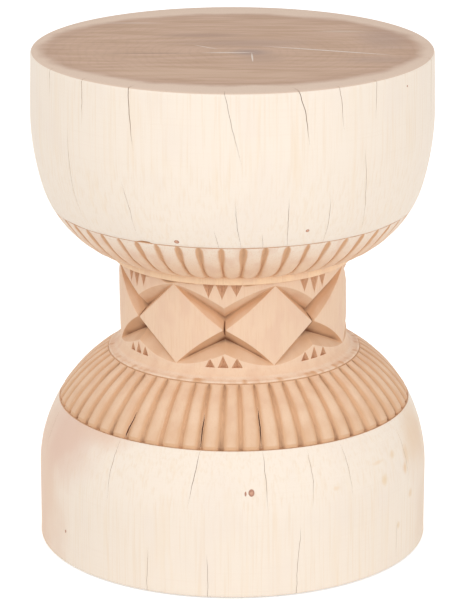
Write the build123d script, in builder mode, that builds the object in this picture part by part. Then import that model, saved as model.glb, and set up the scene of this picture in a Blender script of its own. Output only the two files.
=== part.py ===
"""Drum table carved from one log, free-standing on four felt pads. Millimetres, Z up.

The origin is on the floor, under the middle of the base. The front of the table faces -Y. Angles
round the log are measured from the front towards +X.
"""

from build123d import *
from math import atan2, cos, degrees, radians, sin, sqrt, tan
import os

os.makedirs("parts", exist_ok=True)

# ---------------------------------------------------------------- driving dimensions
FRONT = -90.0  # angle of the front of the table in the XY plane, degrees

# Seat drum: a nearly straight side that turns under in two arcs
table_height = 500.0
seat_radius = 197.3
seat_edge_chamfer = 2.2
drum_widest_radius = 198.5
drum_widest_height = 440.0
drum_shoulder_inset = 9.6
drum_shoulder_height = 370.0
drum_underside_radius = 127.3

# Base: a straight side that closes in one arc
base_radius = 194.8
base_side_height = 74.5
base_edge_chamfer = 2.0
base_neck_radius = 127.0

# Waist and the two turned rings that frame it
waist_radius = 113.2
upper_ring_top = 300.7
upper_ring_bottom = 293.2
upper_ring_top_radius = 120.6
upper_ring_bottom_radius = 118.9
cove_top = 208.0
cove_radius = 124.2
cove_bottom = 200.9
cove_flat_count = 2
lower_ring_radius = 126.8
lower_ring_bottom = 195.3
lower_ring_bottom_radius = 123.5

# Fluted bands, each parted from its plain side by a turned V line. The round stretches that end at a V
# line are turned as short flats, whose corners lie on the curve
upper_line_height = 347.0
upper_line_width = 2.6
upper_line_depth = 2.8
lower_line_height = 144.8
lower_line_width = 4.0
lower_line_depth = 3.0
base_dome_flat_count = 5
drum_round_flat_count = 2
upper_band_flat_count = 3
lower_band_flat_count = 3

# Flutes, V cuts between ribs that are planed flat, a little under the turned curve
rib_plane_depth = 0.4
upper_flutes = 53
upper_flute_phase = 3.4
upper_flute_width = 5.4
upper_flute_depth = 2.6
upper_flute_runout = 1.2
lower_flutes = 55
lower_flute_phase = 2.2
lower_flute_width = 5.2
lower_flute_depth = 2.6
lower_flute_runout = 0.5

# Waist carving: a row of diamonds parted by V cuts that deepen to where two diamonds meet
diamonds = 7
diamond_phase = 22.0
diamond_middle = 247.6
diamond_height = 78.6
upper_valley_rise = 8.6
upper_triangle_rise = 15.4
lower_valley_drop = 12.0
lower_triangle_drop = 25.6
valley_depth = 12.5
saddle_drop = 0.8

# Chip-carved notches, three to a triangle, the middle one longest
notch_depth = 3.2
upper_notch_spacing = 13.6
upper_notch_width = 11.2
upper_notch_length = 12.6
upper_notch_middle_length = 16.0
lower_notch_spacing = 12.2
lower_notch_width = 8.5
lower_notch_length = 9.0
lower_notch_middle_length = 12.0
notch_tip = 0.5

# Two heart checks in the top, each filled flush; ends of each check as X, Y
heart_checks = [((-31.0, -24.0), (22.0, -22.0)), ((28.0, 7.0), (158.0, -35.0))]
check_width = 3.2
check_depth = 9.0
filler_shrinkage = 0.1

# Self-adhesive felt pads under the base
felt_pads = 4
pad_circle_radius = 160.0
pad_width = 30.0
pad_thickness = 1.5

log_bottom = pad_thickness
drum_shoulder_radius = drum_widest_radius - drum_shoulder_inset


def arc_radius(arc, height):
    """Radius of the turned surface at a height on an arc of the half section."""
    rise = height - arc.arc_center.Y
    return arc.arc_center.X + sqrt(arc.radius**2 - rise**2)


def arc_angle(arc, radius, height):
    """Direction from an arc's centre to a point of the half section, in degrees above the horizontal."""
    return degrees(atan2(height - arc.arc_center.Y, radius - arc.arc_center.X))


def arc_point(arc, angle, depth=0.0):
    """Point at a direction from an arc's centre, on the arc or a depth inside it."""
    reach = arc.radius - depth
    return (
        arc.arc_center.X + reach * cos(radians(angle)),
        arc.arc_center.Y + reach * sin(radians(angle)),
    )


def flats(arc, first_angle, last_angle, count, depth=0.0):
    """Corners of equal flats that follow an arc, on it or a depth inside it."""
    step = (last_angle - first_angle) / count
    return [arc_point(arc, first_angle + number * step, depth) for number in range(count + 1)]


# ---------------------------------------------------------------- the curves of the half section
base_arc = TangentArc(
    (base_radius, base_side_height), (base_neck_radius, lower_ring_bottom), tangent=(0, 1)
)
drum_side_arc = TangentArc(
    (drum_widest_radius, drum_widest_height),
    (drum_shoulder_radius, drum_shoulder_height),
    tangent=(0, -1),
)
drum_arc = TangentArc(
    drum_side_arc @ 1, (drum_underside_radius, upper_ring_top), tangent=drum_side_arc % 1
)
cove_arc = TangentArc((waist_radius, cove_top), (cove_radius, cove_bottom), tangent=(0, -1))

base_neck_angle = arc_angle(base_arc, base_neck_radius, lower_ring_bottom)
base_line_angle = arc_angle(
    base_arc, arc_radius(base_arc, lower_line_height), lower_line_height
)
base_line_half = degrees(lower_line_width / 2 / base_arc.radius)
drum_shoulder_angle = arc_angle(drum_arc, drum_shoulder_radius, drum_shoulder_height)
drum_line_angle = arc_angle(
    drum_arc, arc_radius(drum_arc, upper_line_height), upper_line_height
)
drum_line_half = degrees(upper_line_width / 2 / drum_arc.radius)
drum_end_angle = arc_angle(drum_arc, drum_underside_radius, upper_ring_top)
# The cove is hollow, so its centre is outside the wood and its angles are counted from 0 to 360
cove_top_angle = arc_angle(cove_arc, waist_radius, cove_top) % 360
cove_bottom_angle = arc_angle(cove_arc, cove_radius, cove_bottom) % 360

# ---------------------------------------------------------------- the turned form
with BuildPart() as turned_log:
    with BuildSketch(Plane.XZ) as half_section:
        with BuildLine() as outline:
            Polyline(
                (0, log_bottom),
                (base_radius, log_bottom),
                *flats(base_arc, 0, base_line_angle - base_line_half, base_dome_flat_count),
                arc_point(base_arc, base_line_angle, lower_line_depth),
                *flats(
                    base_arc,
                    base_line_angle + base_line_half,
                    base_neck_angle,
                    lower_band_flat_count,
                ),
                (lower_ring_bottom_radius, lower_ring_bottom),
                (lower_ring_radius, (lower_ring_bottom + cove_bottom) / 2),
                *flats(cove_arc, cove_bottom_angle, cove_top_angle, cove_flat_count),
                (waist_radius, upper_ring_bottom),
                (upper_ring_bottom_radius, upper_ring_bottom),
                (upper_ring_top_radius, upper_ring_top),
                *flats(
                    drum_arc,
                    drum_end_angle,
                    drum_line_angle - drum_line_half,
                    upper_band_flat_count,
                ),
                arc_point(drum_arc, drum_line_angle, upper_line_depth),
                *flats(
                    drum_arc,
                    drum_line_angle + drum_line_half,
                    drum_shoulder_angle,
                    drum_round_flat_count,
                ),
            )
            add(drum_side_arc)
            Polyline(
                drum_side_arc @ 0,
                (seat_radius, table_height),
                (0, table_height),
                (0, log_bottom),
            )
        make_face()
        seat_corner = half_section.vertices().group_by(Axis.Y)[-1].sort_by(Axis.X)[-1]
        chamfer(seat_corner, seat_edge_chamfer)
        base_corner = half_section.vertices().group_by(Axis.Y)[0].sort_by(Axis.X)[-1]
        chamfer(base_corner, base_edge_chamfer)
    revolve(axis=Axis.Z)


# ---------------------------------------------------------------- cutting tools for the carving
def run_on(points, distance):
    """The same polyline with its last stretch longer."""
    last = Vector(*points[-1])
    last += (last - Vector(*points[-2])).normalized() * distance
    return [*points[:-1], (last.X, last.Y)]


def rib_plane(arc, line_angle, band_angle, end_angle, count, flutes, runout):
    """Plane iron for one rib at the X axis: takes the turned band down to flats, as wide as a pitch."""
    corners = flats(arc, band_angle, end_angle, count, rib_plane_depth)
    face = run_on([arc_point(arc, line_angle, rib_plane_depth), *corners[1:]], runout)
    back = flats(arc, end_angle, line_angle, count, -rib_plane_depth)
    pitch = 2 * face[0][0] * tan(radians(180 / flutes))
    with BuildPart() as cutter:
        with BuildSketch(Plane.XZ):
            Polygon(*face, *back, align=None)
        extrude(amount=pitch / 2, both=True)
    return cutter.part


def flute_cutter(arc, line_angle, band_angle, end_angle, count, width, depth, runout):
    """V tool for one flute at the X axis, mitred where the band turns from flat to flat."""
    corners = flats(arc, band_angle, end_angle, count, depth)
    route = run_on([arc_point(arc, line_angle, depth), *corners[1:]], runout)
    with BuildPart() as cutter:
        with BuildLine(Plane.XZ) as path:
            Polyline(*route)
        start = path.line @ 0
        outward = start - Vector(arc.arc_center.X, 0, arc.arc_center.Y)
        with BuildSketch(Plane(start, x_dir=outward, z_dir=path.line % 0)):
            Polygon((0, 0), (2 * depth, width), (2 * depth, -width), align=None)
        sweep(path=path.line, transition=Transition.RIGHT)
    return cutter.part


upper_band = (
    drum_arc,
    drum_line_angle,
    drum_line_angle - drum_line_half,
    drum_end_angle,
    upper_band_flat_count,
)
lower_band = (
    base_arc,
    base_line_angle,
    base_line_angle + base_line_half,
    base_neck_angle,
    lower_band_flat_count,
)
upper_rib_plane = rib_plane(*upper_band, upper_flutes, upper_flute_runout)
lower_rib_plane = rib_plane(*lower_band, lower_flutes, lower_flute_runout)
upper_flute_cut = flute_cutter(
    *upper_band, upper_flute_width, upper_flute_depth, upper_flute_runout
)
lower_flute_cut = flute_cutter(
    *lower_band, lower_flute_width, lower_flute_depth, lower_flute_runout
)

# V cuts between the diamonds: the section stands on the radial plane where two diamonds meet, and is
# drawn back along the valley to the point of the diamond on either side
half_pitch = 180 / diamonds
valley_radius = waist_radius - valley_depth
saddle_radius = waist_radius - saddle_drop
carve_reach = waist_radius + notch_depth
section_reach = waist_radius + valley_depth / 2


def flank_point(valley_height, edge_radius, edge_height):
    """Where a flank that rises from the valley through an edge reaches the outside of the tool."""
    slope = (edge_height - valley_height) / (edge_radius - valley_radius)
    return (section_reach, valley_height + slope * (section_reach - valley_radius))


with BuildPart() as chevron_cut:
    for valley_height, triangle_height, point_height in (
        (
            diamond_middle + upper_valley_rise,
            diamond_middle + upper_triangle_rise,
            diamond_middle + diamond_height / 2,
        ),
        (
            diamond_middle - lower_valley_drop,
            diamond_middle - lower_triangle_drop,
            diamond_middle - diamond_height / 2,
        ),
    ):
        with BuildSketch(Plane.XZ) as valley_section:
            Polygon(
                (valley_radius, valley_height),
                flank_point(valley_height, saddle_radius, diamond_middle),
                flank_point(valley_height, waist_radius, triangle_height),
                align=None,
            )
        for side in (-1, 1):
            valley = Vector(
                waist_radius * cos(radians(half_pitch)) - valley_radius,
                side * waist_radius * sin(radians(half_pitch)),
                point_height - valley_height,
            )
            extrude(valley_section.sketch, amount=valley.length, dir=valley)
    with Locations((0, 0, (cove_top + upper_ring_bottom) / 2)):
        Cylinder(carve_reach, upper_ring_bottom - cove_top, mode=Mode.INTERSECT)


def notch(width, length):
    """A chip cut: full depth at its straight end, running out at its point."""
    return Wedge(
        width,
        length,
        2 * notch_depth,
        (width - notch_tip) / 2,
        notch_depth - notch_tip / 2,
        (width + notch_tip) / 2,
        notch_depth + notch_tip / 2,
        align=(Align.CENTER, Align.MIN, Align.CENTER),
        mode=Mode.PRIVATE,
    )


with BuildPart() as notch_cuts:
    for height, up, spacing, width, length, middle_length in (
        (
            upper_ring_bottom,
            -1,
            upper_notch_spacing,
            upper_notch_width,
            upper_notch_length,
            upper_notch_middle_length,
        ),
        (
            cove_top,
            1,
            lower_notch_spacing,
            lower_notch_width,
            lower_notch_length,
            lower_notch_middle_length,
        ),
    ):
        for place in (-1, 0, 1):
            turn = place * spacing / waist_radius
            outward = Vector(cos(turn), sin(turn))
            seat = Plane(
                outward * waist_radius + Vector(0, 0, height),
                x_dir=outward.cross(Vector(0, 0, -up)),
                z_dir=outward,
            )
            with Locations(seat):
                add(notch(width, length if place else middle_length))


# ---------------------------------------------------------------- heart checks in the top
def check_outline(start, end, shrink):
    """Slender lens between the ends of a check."""
    start, end = Vector(*start), Vector(*end)
    middle = (start + end) / 2
    across = (end - start).cross(Vector(0, 0, 1)).normalized()
    half_width = check_width / 2 - shrink
    trim = (end - start).normalized() * shrink
    one_side = ThreePointArc(start + trim, middle + across * half_width, end - trim)
    ThreePointArc(one_side @ 1, middle - across * half_width, one_side @ 0)


with BuildPart() as heart_check_slots:
    for check in heart_checks:
        with BuildSketch(Plane.XY.offset(table_height)):
            with BuildLine():
                check_outline(*check, 0.0)
            make_face()
    extrude(amount=-check_depth)

with BuildPart() as heart_check_filler:
    for check in heart_checks:
        with BuildSketch(Plane.XY.offset(table_height)):
            with BuildLine():
                check_outline(*check, filler_shrinkage)
            make_face()
    extrude(amount=-check_depth)


# ---------------------------------------------------------------- the carved log
with BuildPart() as carved_log:
    add(turned_log.part)
    for flutes, phase, plane_iron, flute_cut in (
        (upper_flutes, upper_flute_phase, upper_rib_plane, upper_flute_cut),
        (lower_flutes, lower_flute_phase, lower_rib_plane, lower_flute_cut),
    ):
        with PolarLocations(0, flutes, start_angle=FRONT + phase + 180 / flutes):
            add(plane_iron, mode=Mode.SUBTRACT)
        with PolarLocations(0, flutes, start_angle=FRONT + phase):
            add(flute_cut, mode=Mode.SUBTRACT)
    with PolarLocations(0, diamonds, start_angle=FRONT + diamond_phase + half_pitch):
        add(chevron_cut.part, mode=Mode.SUBTRACT)
        add(notch_cuts.part, mode=Mode.SUBTRACT)
    add(heart_check_slots.part, mode=Mode.SUBTRACT)

carved_log.part.label = "carved_log"
export_step(carved_log.part, "parts/carved_log.step")

heart_check_filler.part.label = "heart_check_filler"
export_step(heart_check_filler.part, "parts/heart_check_filler.step")

# ---------------------------------------------------------------- felt pads
for number in range(1, felt_pads + 1):
    turn = (number - 0.5) * 360 / felt_pads
    with BuildPart() as felt_pad:
        with PolarLocations(pad_circle_radius, 1, start_angle=turn):
            Box(
                pad_width,
                pad_width,
                pad_thickness,
                align=(Align.CENTER, Align.CENTER, Align.MIN),
            )
    felt_pad.part.label = f"felt_pad_{number}"
    export_step(felt_pad.part, f"parts/felt_pad_{number}.step")
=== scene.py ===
"""Drum table carved from one log: the finished wood around its solid model.

The log is shown as five pieces that meet along its own turned lines. Angles round the log are measured
from the front (-Y) towards +X.
"""

from math import atan2, cos, degrees, exp, hypot, pi, radians, sin, sqrt, tan
from random import Random

import bmesh
import bpy
from bpy.props import FloatProperty, FloatVectorProperty, IntProperty, PointerProperty
from mathutils import Matrix, Vector, noise


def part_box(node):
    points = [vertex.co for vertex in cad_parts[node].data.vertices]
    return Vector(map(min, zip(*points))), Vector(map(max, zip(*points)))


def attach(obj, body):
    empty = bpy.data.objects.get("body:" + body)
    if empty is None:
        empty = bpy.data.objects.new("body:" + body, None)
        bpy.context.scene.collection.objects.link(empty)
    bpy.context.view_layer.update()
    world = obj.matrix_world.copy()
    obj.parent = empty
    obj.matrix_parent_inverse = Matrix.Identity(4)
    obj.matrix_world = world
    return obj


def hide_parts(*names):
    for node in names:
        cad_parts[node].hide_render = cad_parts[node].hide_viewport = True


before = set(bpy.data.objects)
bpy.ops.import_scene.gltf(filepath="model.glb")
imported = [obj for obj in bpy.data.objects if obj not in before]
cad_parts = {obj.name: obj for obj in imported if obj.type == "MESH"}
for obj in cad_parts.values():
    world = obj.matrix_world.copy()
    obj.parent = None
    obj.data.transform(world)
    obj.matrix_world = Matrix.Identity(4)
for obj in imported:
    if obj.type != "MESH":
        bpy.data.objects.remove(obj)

bl_info = {
    "name": "Carved Log Drum Table",
    "version": (1, 0, 0),
    "blender": (4, 5, 0),
    "location": "3D View > Sidebar > Drum Table",
    "description": "Builds the fluted and diamond-carved log of a drum table",
    "category": "Add Mesh",
}

MM = 0.001
TURNED_SECTORS, SECTOR_STEPS = 32, 20
TURNED_STEPS = TURNED_SECTORS * SECTOR_STEPS
LOG_LOW, LOG_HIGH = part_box("carved_log")

# Fixed places of the half section in m: heights of its lines, and radius and height of its corners
LINE_UPPER = 0.347
LINE_LOWER = 0.1448
NECK_UPPER = (0.1273, 0.3007)
NECK_LOWER = (0.1270, 0.1953)
SHOULDER = (0.1889, 0.370)
WIDEST = 0.440
SIDE_TOP = 0.0745
RING_HIGH = 0.3022
RING_LOW = 0.2932
COVE_HIGH = 0.2080
# The log was turned a little off its middle: how far, and the height and spread of that lean
LEAN, LEAN_HEIGHT, LEAN_SPREAD = 1.8 * MM, 0.172, 0.055
# How far the maker's hand strays from a true line
HAND_STRAY = 0.35 * MM


def linear(code):
    """Linear colour of an sRGB hex code."""
    channels = [int(code[i : i + 2], 16) / 255 for i in (0, 2, 4)]
    return (*(c / 12.92 if c <= 0.04045 else ((c + 0.055) / 1.055) ** 2.4 for c in channels), 1.0)


# ---------------------------------------------------------------- sizes and colours a user would change
def length(name, description, default):
    return FloatProperty(name=name, description=description, default=default, unit="LENGTH", min=0.0)


def colour(name, description, code):
    return FloatVectorProperty(
        name=name, description=description, default=linear(code), subtype="COLOR", size=4, min=0, max=1
    )


class DrumTableSizes(bpy.types.PropertyGroup):
    """Sizes of the turned and carved log."""

    seat_radius: length("Seat radius", "Radius of the top at its edge", 0.1973)
    seat_round: length("Seat edge round", "Radius of the sanded edge of the top", 0.0032)
    drum_radius: length("Drum radius", "Widest radius of the seat drum", 0.1985)
    base_radius: length("Base radius", "Radius of the base's straight side", 0.1948)
    base_round: length("Base edge round", "Radius of the edge at the floor", 0.0022)
    waist_radius: length("Waist radius", "Radius of the diamond faces", 0.1132)
    upper_flutes: IntProperty(name="Upper flutes", description="Flutes under the seat", default=53, min=8)
    lower_flutes: IntProperty(name="Lower flutes", description="Flutes over the base", default=55, min=8)
    diamonds: IntProperty(name="Diamonds", description="Diamonds round the waist", default=7, min=3)


class DrumTableColours(bpy.types.PropertyGroup):
    """Colours of the wood, its filler, its knots and the pads."""

    sapwood: colour("Sapwood", "Side grain of the outer wood", "f9ebdb")
    sapwood_line: colour("Sapwood line", "Warmer grain lines of the outer wood", "f0dabf")
    heartwood: colour("Heartwood", "Side grain of the carved bands", "f2d2b5")
    heartwood_cut: colour("Heartwood cut", "Tool cuts in the heartwood", "deb28c")
    # painted shade: the brown laid on the deepest cuts, valleys and slits, where shade falls
    heartwood_painted_shade: colour("Heartwood deep", "Bottom of the deepest cuts", "7e5237")
    end_heart: colour("End grain, heart", "Heartwood of the top", "d1b099")
    end_sap: colour("End grain, sap", "Sapwood rim of the top", "e4cbb7")
    filler: colour("Check filler", "Sawdust filler of the heart checks", "eaddd2")
    knot: colour("Knot", "Bark ring of the pin knots", "b98871")
    felt: colour("Felt", "Wool felt of the pads", "5b4636")


# ---------------------------------------------------------------- the turned profile
def tangent_arc(start, centreward, end):
    """Centre and radius of the arc that leaves a start point square to a direction and meets an end."""
    along = Vector(start) - Vector(end)
    toward = Vector(centreward).normalized()
    radius = -along.length_squared / (2 * along.dot(toward))
    return Vector(start) + toward * radius, radius


def arc_points(centre, radius, first, last, count):
    """Points along an arc between two angles, both ends included."""
    turns = [first + (last - first) * i / count for i in range(count + 1)]
    return [(centre[0] + radius * cos(turn), centre[1] + radius * sin(turn)) for turn in turns]


def line_points(start, end, count):
    """Points along a straight stretch, without its first."""
    shares = [i / count for i in range(1, count + 1)]
    return [tuple(a + (b - a) * share for a, b in zip(start, end)) for share in shares]


def angle_on(centre, point):
    return atan2(point[1] - centre[1], point[0] - centre[0])


def height_angle(arc, height):
    """Angle on an arc where it passes a height, on its outer side."""
    rise = height - arc[0][1]
    return atan2(rise, sqrt(arc[1] ** 2 - rise**2))


def curves(sizes):
    """The arcs of the seat drum's side, of its round and of the base."""
    side = tangent_arc((sizes.drum_radius, WIDEST), (-1, 0), SHOULDER)
    drum = tangent_arc(SHOULDER, side[0] - Vector(SHOULDER), NECK_UPPER)
    base = tangent_arc((sizes.base_radius, SIDE_TOP), (-1, 0), NECK_LOWER)
    return side, drum, base


def side_at(sizes, height):
    """Radius of the plain turned sides at a height, and how steeply they face up."""
    side, drum, base = curves(sizes)
    if height > WIDEST:
        share = (height - WIDEST) / (LOG_HIGH.z - WIDEST)
        return sizes.drum_radius + (sizes.seat_radius - sizes.drum_radius) * share, 0.0
    if height < SIDE_TOP:
        return sizes.base_radius, 0.0
    arc = base if height < NECK_LOWER[1] else drum if height < SHOULDER[1] else side
    turn = height_angle(arc, height)
    return arc[0][0] + arc[1] * cos(turn), sin(turn)


def ease(value):
    value = min(max(value, 0.0), 1.0)
    return value * value * (3 - 2 * value)


def uneven(angle, height, size, seed):
    """Smooth random number from -1 to 1 over the log's surface, which closes round it."""
    return noise.noise((cos(angle) / size + seed, sin(angle) / size, height * 6 / size))


def lean(height):
    """Shift of the log towards +X at a height, greatest between the waist and the base."""
    return LEAN * exp(-(((height - LEAN_HEIGHT) / LEAN_SPREAD) ** 2))


# ---------------------------------------------------------------- mesh helpers
def spun(profile, sectors, steps):
    """A closed turned solid, made as equal sectors. Each vertex keeps the number of its profile point."""
    turned = bmesh.new()
    row = turned.verts.layers.int.new("row")
    turned.verts.layers.float.new("carved")
    points = [turned.verts.new((radius, 0.0, height)) for radius, height in profile]
    for number, point in enumerate(points):
        point[row] = number
    edges = [turned.edges.new(pair) for pair in zip(points, points[1:])]
    round_z = {"axis": (0, 0, 1), "cent": (0, 0, 0)}
    sector = 2 * pi / sectors
    bmesh.ops.spin(turned, geom=points + edges, angle=sector, steps=steps, **round_z)
    one = turned.verts[:] + turned.edges[:] + turned.faces[:]
    bmesh.ops.spin(turned, geom=one, angle=2 * pi - sector, steps=sectors - 1, use_duplicate=True, **round_z)
    bmesh.ops.remove_doubles(turned, verts=turned.verts, dist=2e-6)
    bmesh.ops.recalc_face_normals(turned, faces=turned.faces)
    return turned


def reshape(turned, count, place):
    """Moves each vertex off the axis to the angle, radius and height of its row and step, with their tone."""
    row = turned.verts.layers.int["row"]
    carved = turned.verts.layers.float["carved"]
    for vertex in turned.verts:
        x, y, z = vertex.co
        if hypot(x, y) > 1e-5:
            step = round(atan2(y, x) / (2 * pi) * count) % count
            angle, radius, height, vertex[carved] = place(vertex[row], step)
            vertex.co = (radius * sin(angle) + lean(height), -radius * cos(angle), height)


def blade(cutters, sections):
    """A closed blade through a chain of sections that have the same number of corners."""
    made = bmesh.ops.create_circle(cutters, cap_ends=True, segments=len(sections[0]), radius=1.0)
    face = made["verts"][0].link_faces[0]
    corners = list(face.verts)
    for corner, point in zip(corners, sections[0]):
        corner.co = point
    for section in sections[1:]:
        grown = bmesh.ops.extrude_face_region(cutters, geom=[face, *face.edges])["geom"]
        face = next(item for item in grown if isinstance(item, bmesh.types.BMFace))
        follows = {edge.other_vert(vertex): vertex for vertex in face.verts for edge in vertex.link_edges}
        corners = [follows[corner] for corner in corners]
        for corner, point in zip(corners, section):
            corner.co = point


def on_side(angle, radius, height):
    """Point of the log's side."""
    return (radius * sin(angle) + lean(height), -radius * cos(angle), height)


def finished(name, shape, finishes, node="carved_log", sharp=32):
    """The mesh as an object that rides on the table and stands for its solid."""
    mesh = bpy.data.meshes.new(name)
    shape.to_mesh(mesh)
    shape.free()
    for finish in finishes:
        mesh.materials.append(finish_of(finish))
    piece = bpy.data.objects.new(name, mesh)
    bpy.context.scene.collection.objects.link(piece)
    mesh.shade_smooth()
    mesh.set_sharp_from_angle(angle=radians(sharp))
    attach(piece, "root")
    if node:
        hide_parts(node)
    return piece


def split(piece, sizes, checks, wall, seed):
    """Opens a list of drying checks in a piece; the seed sets how they wander."""
    cutters = bmesh.new()
    for number, (points, width, depth) in enumerate(checks):
        check_blade(cutters, sizes, points, width, depth, seed + number * 3.7)
    carve(piece, cutters, wall)


def carve(piece, cutters, wall):
    """Takes closed cutters out of a piece; the cut walls get their own finish."""
    bmesh.ops.recalc_face_normals(cutters, faces=cutters.faces)
    mesh = bpy.data.meshes.new("cutters")
    cutters.to_mesh(mesh)
    cutters.free()
    mesh.materials.append(finish_of(wall))
    tool = bpy.data.objects.new("cutters", mesh)
    bpy.context.scene.collection.objects.link(tool)
    cut = piece.modifiers.new("cut", "BOOLEAN")
    cut.operation, cut.object, cut.solver, cut.material_mode = "DIFFERENCE", tool, "MANIFOLD", "TRANSFER"
    bpy.context.view_layer.update()
    result = bpy.data.meshes.new_from_object(piece.evaluated_get(bpy.context.evaluated_depsgraph_get()))
    piece.modifiers.clear()
    old, piece.data = piece.data, result
    result.name = piece.name
    bpy.data.meshes.remove(old)
    bpy.data.objects.remove(tool)
    bpy.data.meshes.remove(mesh)


# ---------------------------------------------------------------- drying checks
# Each check: angle in degrees and height in mm of its points, top first, then width and depth in mm.
# Those that start above the top run over its rim, and those that end below 0 run through the base's edge
DRUM_CHECKS = [
    ([(-61.6, 502), (-61.4, 486), (-61.4, 470)], 0.40, 10),
    ([(-45.7, 502), (-45.5, 480), (-45.5, 458)], 0.50, 10),
    ([(-29.3, 502), (-28.9, 472), (-27.8, 440)], 0.65, 14),
    ([(-2.2, 502), (-0.2, 468), (2.6, 430)], 0.35, 13),
    ([(18.0, 502), (20.1, 477), (21.1, 448)], 0.65, 18),
    ([(30.2, 502), (31.0, 480), (31.6, 458)], 0.40, 9),
    ([(43.1, 502), (42.9, 484), (42.7, 464)], 0.40, 9),
    ([(75.9, 502), (75.6, 470), (74.9, 426)], 0.55, 14),
    ([(112.0, 502), (112.6, 470), (111.9, 446)], 0.50, 12),
    ([(141.0, 502), (140.2, 480), (140.6, 452)], 0.40, 10),
    ([(171.5, 502), (172.3, 466), (173.4, 430)], 0.60, 14),
    ([(203.0, 502), (202.6, 482), (202.9, 462)], 0.40, 9),
    ([(236.0, 502), (236.8, 470), (236.1, 441)], 0.50, 12),
    ([(262.0, 502), (261.6, 480), (261.9, 466)], 0.40, 9),
    ([(-51.7, 453), (-51.5, 390), (-49.4, 351)], 0.35, 6),
    ([(-31.9, 410), (-30.1, 381), (-29.2, 352)], 0.30, 5),
    ([(-5.3, 368), (-4.6, 356), (-3.5, 340)], 0.24, 4),
    ([(0.8, 398), (1.2, 372), (3.0, 341)], 0.30, 5),
    ([(8.5, 364), (8.9, 351), (9.0, 340)], 0.20, 4),
    ([(15.6, 400), (15.9, 366), (16.8, 338)], 0.35, 5),
    ([(28.2, 396), (28.5, 370), (28.0, 340)], 0.30, 5),
    ([(38.6, 439), (40.3, 392), (41.8, 350)], 0.35, 6),
    ([(95.0, 420), (96.4, 386), (96.0, 356)], 0.35, 6),
    ([(158.0, 430), (157.0, 392), (158.2, 354)], 0.35, 6),
    ([(219.0, 410), (220.1, 380), (219.6, 352)], 0.30, 5),
]
BASE_CHECKS = [
    ([(-38.3, 147), (-38.9, 116), (-38.6, 84)], 0.35, 6),
    ([(-10.5, 147), (-11.7, 118), (-12.9, 92)], 0.45, 8),
    ([(8.9, 147), (9.6, 116), (10.2, 84)], 0.35, 7),
    ([(23.1, 143), (24.0, 118), (23.4, 86)], 0.35, 7),
    ([(35.2, 143), (36.4, 118), (36.9, 88)], 0.30, 7),
    ([(61.9, 140), (63.1, 106), (63.5, 70)], 0.30, 6),
    ([(-24.7, 48), (-25.0, 26), (-25.3, -2)], 0.30, 6),
    ([(-7.3, 47), (-7.1, 24), (-7.0, -2)], 0.30, 6),
    ([(19.9, 73), (18.9, 34), (18.3, -2)], 0.35, 7),
    ([(56.5, 53), (56.3, 28), (56.2, 2.5)], 0.30, 6),
    ([(106.8, 143), (107.3, 110), (106.9, 80)], 0.35, 7),
    ([(133.0, 60), (133.6, 30), (133.2, -2)], 0.35, 7),
    ([(165.8, 143), (165.1, 112), (165.7, 84)], 0.45, 8),
    ([(214.0, 143), (214.9, 118), (214.5, 92)], 0.35, 7),
    ([(248.0, 66), (247.2, 30), (247.6, -2)], 0.35, 7),
    ([(283.6, 143), (284.5, 120), (284.1, 96)], 0.30, 6),
]
# Wider splits that tore open in the lower flutes
FLUTE_CHECKS = [
    ([(-11.0, 179), (-10.9, 160), (-10.6, 133)], 2.6, 6.5),
    ([(8.6, 183), (8.8, 160), (8.9, 136)], 2.2, 6.5),
    ([(-36.9, 172), (-37.1, 158), (-37.9, 133)], 2.4, 6.0),
    ([(106.9, 176), (106.8, 160), (106.8, 143)], 2.2, 6.0),
    ([(165.7, 180), (165.8, 158), (165.8, 143)], 2.6, 6.5),
    ([(283.5, 170), (283.7, 156), (283.6, 143)], 2.2, 6.0),
]
# Blades that cut the checks, in mm: how far they stand out of the wood and how close their sections are
BLADE_PROUD, BLADE_STEP = 2.5, 2.5


def check_blade(cutters, sizes, points, width, depth, seed):
    """A thin wedge along a check, whose point lies in the wood. It wanders a little, as splits do."""
    high, low = points[0][1], points[-1][1]
    over_rim, through_edge = high > 500, low < 0
    count = max(8, round((high - low) / BLADE_STEP))
    sections = []
    for number in range(count + 1):
        share = number / count
        height = high + (low - high) * share
        for (a0, z0), (a1, z1) in zip(points, points[1:]):
            if height >= z1 or z1 == low:
                degree = a0 + (a1 - a0) * (z0 - height) / (z0 - z1)
                break
        fade = min(1.0 if over_rim else share * 4, 1.0 if through_edge else (1 - share) * 2.2, 1.0)
        fade = max(fade, 0.05)
        # above the rim and below the base's edge the blade runs on straight
        radius = side_at(sizes, min(max(height, 3.0), 499.0) * MM)[0]
        inner, outer = radius - depth * MM * (0.3 + 0.7 * fade), radius + BLADE_PROUD * MM
        wander = 0.7 * MM * noise.noise((seed, height / 9, 0.0))
        wander += 0.25 * MM * noise.noise((seed, height / 2.5, 5.0))
        angle = radians(degree) + wander / radius
        half = width * MM / 2 * fade * (outer - inner) / (radius - inner) / outer
        corners = ((angle, inner), (angle - half, outer), (angle + half, outer))
        sections.append([on_side(turn, reach, height * MM) for turn, reach in corners])
    blade(cutters, sections)


# Checks in the heart of the top, filled: their ends in mm
HEART_CHECKS = [((-31, -24), (22, -22)), ((28, 7), (158, -35))]
SMALL_CHECKS = [((18.5, -24), (19.5, -64)), ((-38, 12), (-14, -8))]


def heart_check(shape, start, end, width, depth, above):
    """Slender lens between the ends of a check, cut down into the top."""
    start, end = Vector(start), Vector(end)
    along = end - start
    across = Vector((-along.y, along.x)).normalized()
    top = LOG_HIGH.z
    sections = []
    pieces = 24
    for number in range(pieces + 1):
        share = number / pieces
        half = width / 2 * max(1 - (2 * share - 1) ** 2, 0.03)
        middle = start + along * share
        corners = [(middle + across * half, above), (middle - across * half, above)]
        corners += [(middle - across * half, -depth), (middle + across * half, -depth)]
        sections.append([(point.x * MM, point.y * MM, top + drop * MM) for point, drop in corners])
    blade(shape, sections)


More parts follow.
